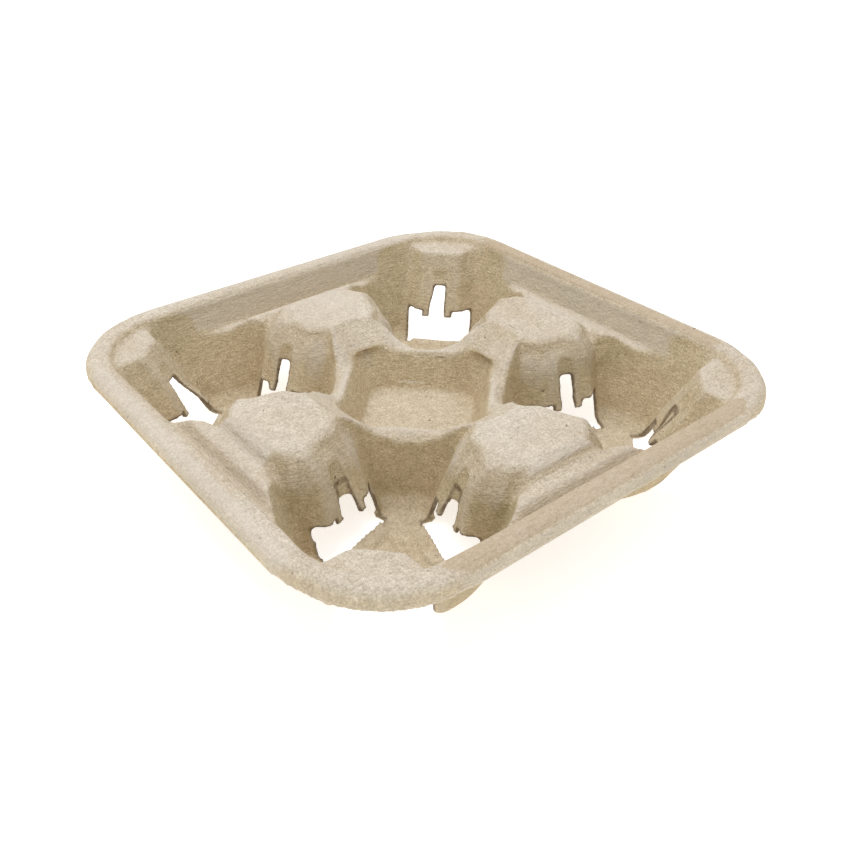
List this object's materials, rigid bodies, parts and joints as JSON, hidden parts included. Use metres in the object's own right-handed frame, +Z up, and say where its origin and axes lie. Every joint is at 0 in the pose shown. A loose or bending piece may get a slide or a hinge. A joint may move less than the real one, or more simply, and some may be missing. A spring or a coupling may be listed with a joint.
{
  "type": "cup carrier tray",
  "caption": "Square moulded pulp carrier tray with round cup cells round a square centre well, and a rolled rim.",
  "frame": {"origin": "middle of the square tray at the level its feet stand on", "axes": "+Z up out of the open cups, X and Y along the two pairs of sides"},
  "size_m": [0.216, 0.216, 0.045],
  "materials": {
    "pulp": "matt, fine fibrous unbleached pulp"
  },
  "bodies": {
    "root": {"cup_tray": "pulp"}
  },
  "joints": []
}
